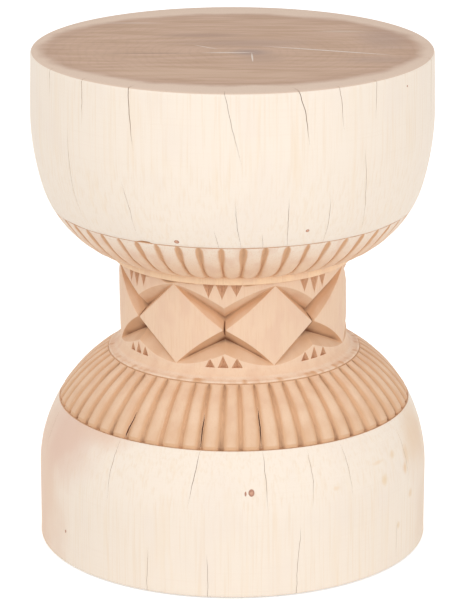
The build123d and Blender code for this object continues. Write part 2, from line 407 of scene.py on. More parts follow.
# ---------------------------------------------------------------- materials
def add_node(tree, kind, inputs=None, output=0, **settings):
    """Adds a shader node with its settings, and returns one of its outputs.

    An input is a value or another node's output.
    """
    made = tree.nodes.new("ShaderNode" + kind)
    for name, value in settings.items():
        setattr(made, name, value)
    for socket, value in (inputs or {}).items():
        if isinstance(value, bpy.types.NodeSocket):
            tree.links.new(value, made.inputs[socket])
        else:
            made.inputs[socket].default_value = value
    return made.outputs[output]


def new_material(name):
    """A node material with its tree, its shader and the object's own coordinates."""
    made = bpy.data.materials.new(name)
    made.use_nodes = True
    tree = made.node_tree
    return made, tree, tree.nodes["Principled BSDF"], add_node(tree, "TexCoord", output="Object")


def layered(tree, base, layers):
    """Lays colours over a base, each up to its strength as its value passes from low to high."""
    for value, low, high, strength, over in layers:
        limits = {0: value, 1: low, 2: high, 3: 0.0, 4: strength}
        share = add_node(tree, "MapRange", limits, interpolation_type="SMOOTHSTEP")
        over = linear(over) if isinstance(over, str) else over
        base = add_node(tree, "Mix", {0: share, 6: base, 7: over}, output=2, data_type="RGBA")
    return base


def grain(tree, place, sizes, detail=3.0, shift=0.0):
    """Noise whose blotches have real sizes in mm along X, Y and Z."""
    scale = tuple(1 / (size * MM) for size in sizes)
    moved = add_node(tree, "Mapping", {"Vector": place, "Scale": scale, "Location": (shift,) * 3})
    return add_node(tree, "TexNoise", {"Vector": moved, "Scale": 1.0, "Detail": detail})


def away_from(tree, place, centre, sizes):
    """Distance from a centre, counted in half sizes."""
    away = add_node(tree, "VectorMath", {0: place, 1: centre}, operation="SUBTRACT")
    away = add_node(tree, "VectorMath", {0: away, 1: sizes}, operation="DIVIDE")
    return add_node(tree, "VectorMath", {0: away}, output="Value", operation="LENGTH")


# How much a noise moves the edge of a blotch, and at how many half sizes the blotch ends and is full
BLOTCH_RAGGED, BLOTCH_END, BLOTCH_FULL = 0.7, 1.6, 0.5


def blotches(tree, place, ragged, stains):
    """Layers of soft blotches whose edges a noise moves.

    Each blotch has a centre, half sizes, a colour and a strength.
    """
    layers = []
    for centre, sizes, code, strength in stains:
        away = away_from(tree, place, centre, sizes)
        edge = add_node(tree, "Math", {0: ragged, 1: BLOTCH_RAGGED, 2: away}, operation="MULTIPLY_ADD")
        layers.append((edge, BLOTCH_END, BLOTCH_FULL, strength, code))
    return layers


WAXED_WOOD_IOR = 1.47


def coat(tree, shader, base, roughness, height, distance, specular=0.3):
    """Sets the colour, sheen and fine relief of a wood."""
    tree.links.new(base, shader.inputs["Base Color"])
    shader.inputs["Roughness"].default_value = roughness
    shader.inputs["IOR"].default_value = WAXED_WOOD_IOR
    shader.inputs["Specular IOR Level"].default_value = specular
    bump = add_node(tree, "Bump", {"Strength": 0.3, "Distance": distance * MM, "Height": height})
    tree.links.new(bump, shader.inputs["Normal"])


# Heartwood that comes to the surface of the base: a pink flare at the left, tan flecks towards the right.
# Each has a centre and half sizes, both in m, a colour and a strength
BASE_FLARES = [
    ((-0.190, -0.030, 0.060), (0.036, 0.115, 0.160), "ebcbb2", 0.85),
    ((-0.165, -0.085, 0.128), (0.060, 0.060, 0.048), "e8c6b2", 0.85),
    ((-0.135, -0.125, 0.150), (0.050, 0.045, 0.020), "e9c6ae", 0.70),
    ((0.188, -0.052, 0.122), (0.029, 0.054, 0.044), "edcfb0", 0.80),
    ((0.196, -0.020, 0.045), (0.022, 0.095, 0.085), "edd6bf", 0.75),
]
BASE_FLECKS = [
    ((0.0998, -0.1636, 0.1027), (0.0040, 0.006, 0.0026), "efd0a8", 0.40),
    ((0.1413, -0.1255, 0.1153), (0.0085, 0.009, 0.0022), "efd2ae", 0.50),
    ((0.1482, -0.1230, 0.0963), (0.0050, 0.007, 0.0062), "eed0a4", 0.60),
    ((0.1561, -0.1061, 0.1168), (0.0040, 0.006, 0.0050), "eccea6", 0.55),
    ((0.1696, -0.0909, 0.0975), (0.0045, 0.006, 0.0065), "ebc8a0", 0.70),
    ((0.1706, -0.0839, 0.1100), (0.0060, 0.008, 0.0120), "ebcaa4", 0.55),
    ((0.1762, -0.0825, 0.0680), (0.0045, 0.006, 0.0055), "ecd0ac", 0.65),
    ((0.1636, -0.1058, 0.0428), (0.0028, 0.004, 0.0045), "ecd2ae", 0.60),
]

# Dark wisps and paler bloom in the end grain of the top
TOP_STAINS = [
    ((-0.030, 0.056, 0.5), (0.050, 0.012, 1.0), "a08174", 0.45),
    ((0.012, 0.020, 0.5), (0.080, 0.022, 1.0), "a98d80", 0.45),
    ((-0.080, -0.026, 0.5), (0.052, 0.003, 1.0), "94786a", 0.50),
    ((0.016, -0.022, 0.5), (0.022, 0.016, 1.0), "9c8a86", 0.55),
    ((0.030, -0.045, 0.5), (0.024, 0.030, 1.0), "b09382", 0.40),
    ((0.150, 0.040, 0.5), (0.030, 0.060, 1.0), "b2978a", 0.50),
    ((0.140, -0.055, 0.5), (0.040, 0.020, 1.0), "b2978a", 0.40),
    ((-0.060, -0.110, 0.5), (0.090, 0.024, 1.0), "d6b79e", 0.50),
    ((0.020, -0.120, 0.5), (0.090, 0.020, 1.0), "d2b39a", 0.40),
    ((0.110, 0.075, 0.5), (0.030, 0.005, 1.0), "dccabc", 0.50),
    ((-0.110, 0.115, 0.5), (0.040, 0.005, 1.0), "dccabc", 0.40),
]

# Turned rims painted paler, as painted light on their lit faces: middle height and half width in m, a colour
# and a strength
PAINTED_LIGHT_RIMS = [(0.19775, 0.00325, "f9ebdb", 0.40), (0.2975, 0.0055, "ffdcb6", 0.90)]
# Pith and heartwood of the top: their centres, the half sizes of the heart and the spacing of its rings, in m
PITH = (0.018, -0.023, 0.0)
HEART, HEART_SIZES = (-0.001, -0.003, 0.0), (0.1885, 0.165, 1.0)
GROWTH_RING = 0.0092
# How far a soft noise moves the rings, in m, and the edge of the heart, in half sizes
RING_STRAY, HEART_STRAY = 0.035, 0.14


def sapwood_material(colours):
    """Sanded sapwood, side grain: nearly white cream with faint warm lines up the trunk, waxed matte."""
    made, tree, shader, place = new_material("sapwood_waxed")
    fine = grain(tree, place, (2.2, 2.2, 80))
    layers = [
        (fine, 0.45, 0.75, 0.42, colours.sapwood_line),
        (grain(tree, place, (9, 9, 120), 2.0, 5.0), 0.55, 0.72, 0.25, "f6e0c4"),
        (grain(tree, place, (90, 90, 1.6), 2.0, 2.0), 0.5, 0.75, 0.2, "f3e2d0"),
        (grain(tree, place, (45, 45, 60), 2.0, 9.0), 0.5, 0.7, 0.35, "f5e6d8"),
        *blotches(tree, place, grain(tree, place, (32, 32, 40), 2.0, 4.0), BASE_FLARES),
        *blotches(tree, place, grain(tree, place, (5, 5, 9), 2.0, 6.0), BASE_FLECKS),
    ]
    coat(tree, shader, layered(tree, colours.sapwood, layers), 0.55, fine, 0.12)
    return made


def heartwood_material(colours):
    """Carved wood, waxed matte: cream near the outside and peach inside.

    It is tan where the tool cut, with painted shade in brown deep down and painted light on two turned rims.
    """
    made, tree, shader, place = new_material("heartwood_carved")
    fine = grain(tree, place, (1.3, 1.3, 26))
    broad = grain(tree, place, (16, 16, 30), 2.0, 3.0)
    height = add_node(tree, "SeparateXYZ", {0: place}, output="Z")
    carved = add_node(tree, "Attribute", output="Fac", attribute_name="carved")
    carved = add_node(tree, "Math", {0: broad, 1: 0.22, 2: carved}, operation="MULTIPLY_ADD")
    layers = [(height, 0.314, 0.352, 0.85, colours.sapwood)]
    # painted light: the turned rims painted paler where their faces catch the light
    for middle, half, code, strength in PAINTED_LIGHT_RIMS:
        away = add_node(tree, "Math", {0: height, 1: middle}, operation="SUBTRACT")
        away = add_node(tree, "Math", {0: away}, operation="ABSOLUTE")
        layers.append((away, half, half - 2 * MM, strength, code))
    layers += [
        (fine, 0.45, 0.8, 0.4, "e6bd96"),
        (broad, 0.45, 0.7, 0.4, "e8c0a6"),
        # the cut wood's tan, then painted shade: brown where the tone runs high, in valleys, groove middles,
        # slits and where diamonds meet
        (carved, 0.14, 0.50, 1.0, colours.heartwood_cut),
        (carved, 0.55, 1.25, 1.0, colours.heartwood_painted_shade),
    ]
    coat(tree, shader, layered(tree, colours.heartwood, layers), 0.6, fine, 0.25)
    return made


def end_grain_material(colours):
    """Sanded end grain of the top: brown heart with faint growth rings and wisps, soft pale sapwood rim."""
    made, tree, shader, place = new_material("end_grain_sanded")
    flat = add_node(tree, "VectorMath", {0: place, 1: (1, 1, 0)}, operation="MULTIPLY")
    from_pith = away_from(tree, flat, PITH, (1, 1, 1))
    soft = grain(tree, flat, (45, 45, 45))
    cloud = grain(tree, flat, (70, 9, 50), 4.0, 2.0)
    sawn = grain(tree, flat, (50, 2.2, 50), 3.0, 7.0)
    pores = grain(tree, flat, (1.4, 1.4, 50), 2.0, 1.0)
    ring = add_node(tree, "Math", {0: soft, 1: RING_STRAY, 2: from_pith}, operation="MULTIPLY_ADD")
    ring = add_node(tree, "Math", {0: ring, 1: 2 * pi / GROWTH_RING}, operation="MULTIPLY")
    ring = add_node(tree, "Math", {0: ring}, operation="SINE")
    edge = away_from(tree, flat, HEART, HEART_SIZES)
    edge = add_node(tree, "Math", {0: soft, 1: HEART_STRAY, 2: edge}, operation="MULTIPLY_ADD")
    layers = [
        (cloud, 0.35, 0.7, 1.0, "c3a187"),
        (sawn, 0.45, 0.75, 0.35, "b5937d"),
        (ring, 0.1, 1.0, 0.10, "a58471"),
        *blotches(tree, place, cloud, TOP_STAINS),
        (edge, 0.90, 1.03, 0.2, "b08d7c"),
        (edge, 1.01, 1.10, 1.0, colours.end_sap),
        (pores, 0.5, 0.8, 0.2, "a07f69"),
    ]
    coat(tree, shader, layered(tree, colours.end_heart, layers), 0.6, pores, 0.08, 0.15)
    return made


def knot_material(colours):
    """Dead pin knot: red-brown bark ring round a pinker heart."""
    made, tree, shader, place = new_material("pin_knot_dead")
    outward = add_node(tree, "Attribute", output="Fac", attribute_name="carved")
    speck = grain(tree, place, (0.8, 0.8, 0.8))
    layers = [(outward, 0.35, 0.8, 1.0, colours.knot), (speck, 0.5, 0.7, 1.0, "a67767")]
    coat(tree, shader, layered(tree, linear("dba98e"), layers), 0.6, speck, 0.2)
    return made


GRAINED_FINISHES = {
    "sapwood": sapwood_material,
    "heartwood": heartwood_material,
    "end_grain": end_grain_material,
    "knot": knot_material,
}
# The others have two tones, of which the first may be a colour of the panel, a grain in mm and a roughness
PLAIN_FINISHES = {
    # torn sapwood inside a drying check: tan, and darker only because it lies in shade
    "check_wall": ("check_wall_torn", "d3b496", "ad8a6c", (0.8, 0.8, 12), 0.8),
    # torn heartwood inside a check of the flutes: red-brown, painted dark as painted shade inside the check
    "flute_check_wall": ("flute_check_wall_shaded", "96634b", "764a37", (0.8, 0.8, 12), 0.8),
    # knife-cut walls of a notch: reddish brown
    "chip_wall": ("chip_wall_cut", "dcae8b", "c99a77", (0.8, 0.8, 6), 0.7),
    # glue and sawdust: paler and greyer than the heart around it
    "filler": ("filler_sawdust", None, "dccbbd", (0.7, 0.7, 0.7), 0.7),
    # pressed wool: matte brown fibres
    "felt": ("felt_pressed", None, "3f3027", (0.4, 0.4, 0.4), 0.95),
}
MATERIALS = {}


def finish_of(key):
    """The material of a finish, made when it is first needed."""
    if key not in MATERIALS:
        colours = bpy.context.scene.drum_table_colours
        if key in GRAINED_FINISHES:
            MATERIALS[key] = GRAINED_FINISHES[key](colours)
        else:
            name, first, second, sizes, roughness = PLAIN_FINISHES[key]
            MATERIALS[key], tree, shader, place = new_material(name)
            speck = grain(tree, place, sizes)
            first = linear(first) if first else getattr(colours, key)
            coat(tree, shader, layered(tree, first, [(speck, 0.35, 0.7, 1.0, second)]), roughness, speck, 0.2)
    return MATERIALS[key]


# ---------------------------------------------------------------- operators
# Finishes of a plain drum: its side, its flat end and the edge of the carved band
DRUM_FINISHES = ("sapwood", "end_grain", "heartwood")
SIDE, END, CARVED = range(3)


class DRUMTABLE_OT_seat_drum(bpy.types.Operator):
    """Turn the plain seat drum with its end-grain top, heart checks and drying checks"""

    bl_idname = "drum_table.seat_drum"
    bl_label = "Seat Drum"

    def execute(self, context):
        sizes = context.scene.drum_table_sizes
        side, drum, _ = curves(sizes)
        top, edge = LOG_HIGH.z, sizes.seat_round
        corner = (sizes.seat_radius - edge, top - edge)
        line = height_angle(drum, LINE_UPPER)
        profile = [(reach, top) for reach in (0.0, 0.06, 0.11, 0.15, 0.172, 0.183)]
        profile += arc_points(corner, edge, pi / 2, 0, 6)
        rim = len(profile)
        profile += line_points((sizes.seat_radius, top - edge), (sizes.drum_radius, WIDEST), 14)
        profile += arc_points(*side, 0.0, angle_on(side[0], SHOULDER), 16)[1:]
        profile += arc_points(*drum, angle_on(drum[0], SHOULDER), line + 0.008, 8)[1:]
        radius, height = profile[-1]
        profile += [(radius - 0.6 * MM, height - 0.4 * MM), (radius - 3 * MM, height), (0.0, height)]
        under = len(profile) - 3
        solid = spun(profile, TURNED_SECTORS, SECTOR_STEPS)

        def place(number, step):
            radius, height = profile[number]
            angle = 2 * pi * step / TURNED_STEPS
            if number > rim:
                radius += HAND_STRAY * uneven(angle, height, 0.5, 3.0)
            if number >= under - 1:
                # the scribed line wanders, and wood broke away from it at one spot
                height += HAND_STRAY * uneven(angle, 0.0, 0.12, 4.0)
                height += 1.3 * MM * exp(-(((degrees(angle) - 332.5) / 2.2) ** 4))
            return angle, min(radius, sizes.drum_radius), height, 0.25

        reshape(solid, TURNED_STEPS, place)
        row = solid.verts.layers.int["row"]
        for face in solid.faces:
            is_top = face.calc_center_median().z > top - 0.8 * MM
            is_under = max(vertex[row] for vertex in face.verts) >= under
            face.material_index = END if is_top else CARVED if is_under else SIDE
        piece = finished("seat_drum", solid, DRUM_FINISHES)
        split(piece, sizes, DRUM_CHECKS, "check_wall", seed=0.0)
        slots, fillers = bmesh.new(), bmesh.new()
        for start, end in HEART_CHECKS:
            heart_check(slots, start, end, width=3.2, depth=9.2, above=1.0)
        for start, end in SMALL_CHECKS:
            heart_check(slots, start, end, width=1.6, depth=4.0, above=1.0)
            heart_check(fillers, start, end, width=1.5, depth=3.9, above=0.0)
        carve(piece, slots, "check_wall")
        bmesh.ops.recalc_face_normals(fillers, faces=fillers.faces)
        finished("small_check_filler", fillers, ["filler"], node=None)
        return {"FINISHED"}


def flute_rule(flutes, per_flute, half_width, depth, crown, tone, phase, seed):
    """Rule that lays a turned band out as flutes and ribs, the first flute at the phase angle.

    The sizes in mm are functions of the share of the way down the band. The rule gives the angle, how far
    in the surface lies and its tone.
    """
    chance = Random(seed)
    shifts = [chance.uniform(-0.5, 0.5) * MM for _ in range(flutes)]
    widths = [chance.uniform(0.85, 1.15) for _ in range(flutes)]
    depths = [chance.uniform(0.85, 1.12) for _ in range(flutes)]
    shades = [chance.uniform(-0.07, 0.16) for _ in range(flutes)]
    pitch = 2 * pi / flutes
    in_groove = per_flute // 2 - 1

    def rule(share, radius, step):
        flute, column = divmod(step, per_flute)
        following = (flute + 1) % flutes

        def edge(number, way):
            wave = HAND_STRAY * noise.noise((number * 3.1 + way, share * 5, seed))
            return (shifts[number] + wave + way * half_width(share) * MM * widths[number]) / radius

        start = phase + pitch * flute
        left, right = start + edge(flute, -1), start + edge(flute, 1)
        if column <= in_groove:
            across = -1 + 2 * column / in_groove
            angle = left + (right - left) * column / in_groove
            inset = crown(share) + depth(share) * depths[flute] * (1 - across**2)
            fray = 0.10 * noise.noise((flute * 2.3, column * 0.7, share * 14))
            shade = tone(share, across, 1.0) + shades[flute] + fray
        else:
            portion = (column - in_groove) / (per_flute - in_groove)
            angle = right + (start + pitch + edge(following, -1) - right) * portion
            side = abs(2 * portion - 1)
            inset = crown(share) * side**2.2
            shade = tone(share, side, 0.0)
        return angle, inset * MM, shade

    return rule


class DRUMTABLE_OT_upper_flutes(bpy.types.Operator):
    """Carve the band of ribs under the seat drum"""

    bl_idname = "drum_table.upper_flutes"
    bl_label = "Upper Flutes"

    def execute(self, context):
        sizes = context.scene.drum_table_sizes
        arc = curves(sizes)[1]
        line, neck = height_angle(arc, LINE_UPPER), angle_on(arc[0], NECK_UPPER)
        rows, per_flute = 36, 18
        band = arc_points(*arc, line - 0.004, neck, rows)
        (r0, z0), (r1, z1) = band[0], band[-1]
        profile = [(0.0, z0 + 3 * MM), (r0 - 6 * MM, z0 + 3 * MM), (r0 - 1.4 * MM, z0 + 1.2 * MM)]
        profile += [(r0 - 0.45 * MM, z0 + 0.35 * MM)]
        lead = len(profile)
        profile += band
        foot = RING_HIGH - 1.0 * MM
        profile += [(r1 - 2 * MM, foot), (0.1, foot), (0.0, foot)]

        def half_width(share):
            arch = 0.9 + 1.9 * sqrt(ease(share / 0.07))
            return arch - 1.7 * ease((share - 0.12) / 0.4) + 0.8 * ease((share - 0.75) / 0.25)

        def depth(share):
            return 0.5 + 1.3 * ease(share / 0.08) - 0.2 * ease((share - 0.3) / 0.4)

        def crown(share):
            return 0.25 + 0.9 * ease(share / 0.25) + 0.6 * share

        def tuck(share):
            """How far the ribs curl in above the ring."""
            return 6.4 * MM * ease((share - 0.72) / 0.4)

        def tone(share, across, groove):
            # grooves: the tan of the cut wood, with painted shade darker down their middles, more on one
            # side, and in the arched pits at their tops; ribs: tan towards their edges and their lower ends
            if groove:
                pit = 1 - ease((share - 0.15) / 0.3)
                groove_shade = (0.20 + 0.08 * pit * across) * (1 - abs(across) ** (1 + pit))
                return 0.24 + 0.06 * ease((share - 0.3) / 0.3) + groove_shade + 0.02 * pit
            return 0.10 * share + 0.30 * across**4 * (0.35 + 0.65 * share) + 0.2 * ease((share - 0.94) / 0.06)

        rule = flute_rule(
            sizes.upper_flutes, per_flute, half_width, depth, crown, tone, phase=radians(3.4), seed=7
        )
        solid = spun(profile, sizes.upper_flutes, per_flute)

        def place(number, step):
            radius, height = profile[number]
            share = min(max((number - lead) / rows, 0.0), 1.0)
            angle, inset, shade = rule(share, radius, step)
            if number < lead:
                return angle, radius, height, 0.45
            if number > lead + rows + 1:
                return angle, radius, height, 0.6
            away = (Vector(band[min(number - lead, rows)]) - arc[0]).normalized()
            if number <= lead + rows:
                height -= inset * away.y
            return angle, radius - inset * away.x - tuck(share), height, shade

        reshape(solid, sizes.upper_flutes * per_flute, place)
        finished("upper_flutes", solid, ["heartwood"])
        return {"FINISHED"}


class DRUMTABLE_OT_lower_flutes(bpy.types.Operator):
    """Carve the band of ribs over the base drum"""

    bl_idname = "drum_table.lower_flutes"
    bl_label = "Lower Flutes"

    def execute(self, context):
        sizes = context.scene.drum_table_sizes
        arc = curves(sizes)[2]
        line, neck = height_angle(arc, LINE_LOWER), angle_on(arc[0], NECK_LOWER)
        rows, per_flute = 40, 18
        band = arc_points(*arc, neck, line + 0.007, rows)
        (r0, z0), (r1, z1) = band[0], band[-1]
        profile = [(0.0, z0 + 0.3 * MM), (r0 - 5 * MM, z0 + 0.3 * MM), (r0 - 1 * MM, z0 + 0.1 * MM)]
        lead = len(profile)
        profile += band
        profile += [(r1 - 1.0 * MM, z1 - 1.2 * MM), (r1 - 6 * MM, z1 - 3 * MM), (0.0, z1 - 3 * MM)]

        def half_width(share):
            return 1.0 + 1.2 * sqrt(ease(share / 0.06)) + 0.5 * share + 0.5 * ease((share - 0.8) / 0.2)

        def depth(share):
            return 0.5 + 1.1 * ease(share / 0.08) + 0.4 * share

        def crown(share):
            return 0.8 + 0.3 * share + 0.9 * ease((share - 0.955) / 0.045)

        def tone(share, across, groove):
            # grooves: the tan of the cut wood, with painted shade darker down their middles and at their ends
            if groove:
                middle = (0.10 + 0.24 * abs(2 * share - 1)) * (1 - abs(across) ** 3)
                ends = 0.06 * ease((share - 0.86) / 0.14) + 0.11 * (1 - ease(share / 0.08))
                return 0.30 + middle + ends
            rib = 0.15 + 0.07 * ease((share - 0.5) / 0.4) + 0.25 * across**4
            return rib + 0.23 * ease((share - 0.955) / 0.03)

        rule = flute_rule(
            sizes.lower_flutes, per_flute, half_width, depth, crown, tone, phase=radians(2.2), seed=11
        )
        solid = spun(profile, sizes.lower_flutes, per_flute)

        def place(number, step):
            radius, height = profile[number]
            share = min(max((number - lead) / rows, 0.0), 1.0)
            angle, inset, shade = rule(share, radius, step)
            if not lead <= number <= lead + rows:
                return angle, radius, height, 0.7
            away = (Vector((radius, height)) - arc[0]).normalized()
            flat = 0.7 * MM * ease((share - 0.955) / 0.045)
            return angle, radius - inset * away.x - flat, height - inset * away.y, shade

        reshape(solid, sizes.lower_flutes * per_flute, place)
        piece = finished("lower_flutes", solid, ["heartwood"])
        split(piece, sizes, FLUTE_CHECKS, "flute_check_wall", seed=200.0)
        return {"FINISHED"}


class Waist:
    """Shape of the carved waist, one half cell between the meeting of two diamonds and a diamond's middle."""

    middle = 0.2476
    # Heights from the middle, of the upper and of the lower cut: where it runs out at a diamond's point and,
    # where two diamonds meet, its valley and the tip of the triangle beyond it
    high, low = 0.0411, -0.0393
    high_valley, low_valley = 0.0092, -0.0126
    high_tip, low_tip = 0.0212, -0.0256
    valley_depth = 0.0125

    def __init__(self, sizes):
        self.outer = sizes.waist_radius
        self.half = pi / sizes.diamonds
        self.upper = self.flanks(self.high_valley, self.high, self.high_tip)
        self.lower = self.flanks(self.low_valley, self.low, self.low_tip)

    def flanks(self, valley, point, tip):
        """The two flanks of a V cut: each a plane through the valley line and its edge."""
        start = Vector((self.outer - self.valley_depth, 0, valley))
        end = Vector((self.outer * cos(self.half), self.outer * sin(self.half), point))
        planes = []
        for edge in ((self.outer, 0, tip), (self.outer - 0.8 * MM, 0, 0.0)):
            normal = (end - start).cross(Vector(edge) - start)
            planes.append((normal, normal.dot(start)))
        return planes, start, end

    def radius_on(self, plane, turn, height):
        normal, offset = plane
        return (offset - normal.z * height) / (normal.x * cos(turn) + normal.y * sin(turn))

    def edge_on(self, plane, turn):
        normal, offset = plane
        return (offset - self.outer * (normal.x * cos(turn) + normal.y * sin(turn))) / normal.z

    def valley_on(self, cut, turn):
        start, end = cut[1:]
        share = start.x * tan(turn) / (end.y - (end.x - start.x) * tan(turn))
        return start.z + (end.z - start.z) * share

    def stations(self, turn):
        """Heights where the surface changes, from the ring down to the cove."""
        turn = min(turn, self.half * 0.998)
        marks = [RING_LOW - self.middle]
        marks += [self.edge_on(self.upper[0][0], turn), self.valley_on(self.upper, turn)]
        marks += [self.edge_on(self.upper[0][1], turn), self.edge_on(self.lower[0][1], turn)]
        marks += [self.valley_on(self.lower, turn), self.edge_on(self.lower[0][0], turn)]
        marks += [COVE_HIGH - self.middle]
        for number in range(1, len(marks)):
            marks[number] = min(marks[number], marks[number - 1])
        return marks

    def depth(self, turn, height):
        """How far the carving lies inside the waist's own cylinder."""
        cuts = [0.0]
        for planes, _, _ in (self.upper, self.lower):
            cuts.append(self.outer - max(self.radius_on(plane, turn, height) for plane in planes))
        # A thin slit parts the points of two diamonds, and a scratched line runs under the ring
        cuts.append(4.0 * MM * (1 - turn * self.outer / (1.9 * MM)) * (abs(height) < 10 * MM))
        cuts.append(0.9 * MM * (1 - (RING_LOW - self.middle - height) / (1.3 * MM)))
        return max(cuts)

    def tone(self, turn, height):
        """Colour of the cut at a point: tan flanks; painted shade in brown along the valleys, where diamonds
        meet and on lower flanks.
        """
        marks = self.stations(turn)
        shade = 0.0
        column = exp(-((turn * self.outer / (9 * MM)) ** 2))
        for top, valley, low in (marks[1:4], marks[4:7]):
            if low < height < top:
                beside_diamond = (height < valley) == (valley > 0)
                wide = (2.4 if beside_diamond else 1.5) * MM + 1.3 * MM * column
                slim = min((top - low) / (12 * MM), 1.0)
                near = exp(-(((height - valley) / wide) ** 2)) * slim
                meet = column * exp(-abs(height - valley) / (5 * MM))
                if valley > 0:
                    shade = 0.20 + 0.48 * near + 0.18 * meet
                else:
                    shade = 0.24 + 0.34 * near + 0.36 * meet + 0.34 * beside_diamond * slim
        # painted shade: the slit between two diamonds' points is painted deep brown
        slit = 1.1 * exp(-((turn * self.outer / (1.4 * MM)) ** 2)) * (abs(height) < 6 * MM)
        return max(shade, slit)


# Where hand carving strayed from the even layout at each meeting of two diamonds: how far the meeting and
# its notches lie round the log in degrees, the rise of the meeting and the spacing of its notches in mm
MEETINGS = [
    (-4.0, -3.4, -2.0, 12.6),
    (1.2, 0.4, -2.0, 13.0),
    (-1.5, -0.8, -1.0, 12.2),
    (0.8, 0.2, -2.4, 13.4),
    (-1.0, 0.6, -1.6, 12.8),
    (0.6, -0.4, -1.9, 10.6),
    (-0.5, -1.4, -1.9, 13.4),
]
# How far the upper and the lower point of each diamond stray round the log, in degrees
DIAMONDS = [(0.5, -0.4), (-0.6, 0.3), (0.4, 0.8), (-0.3, -0.8), (0.7, -0.2), (-0.9, -0.3), (-0.6, -1.7)]


# Rows in each part of the waist between the stations of Waist, from the ring down to the cove
WAIST_ROWS = (11, 9, 7, 22, 7, 9, 7)
# Carved edges are rounded by a mean of the depth at five heights: weights, and steps of so many mm
ROUNDING = ((1, -2), (2, -1), (3, 0), (2, 1), (1, 2))
ROUNDING_STEP = 0.35


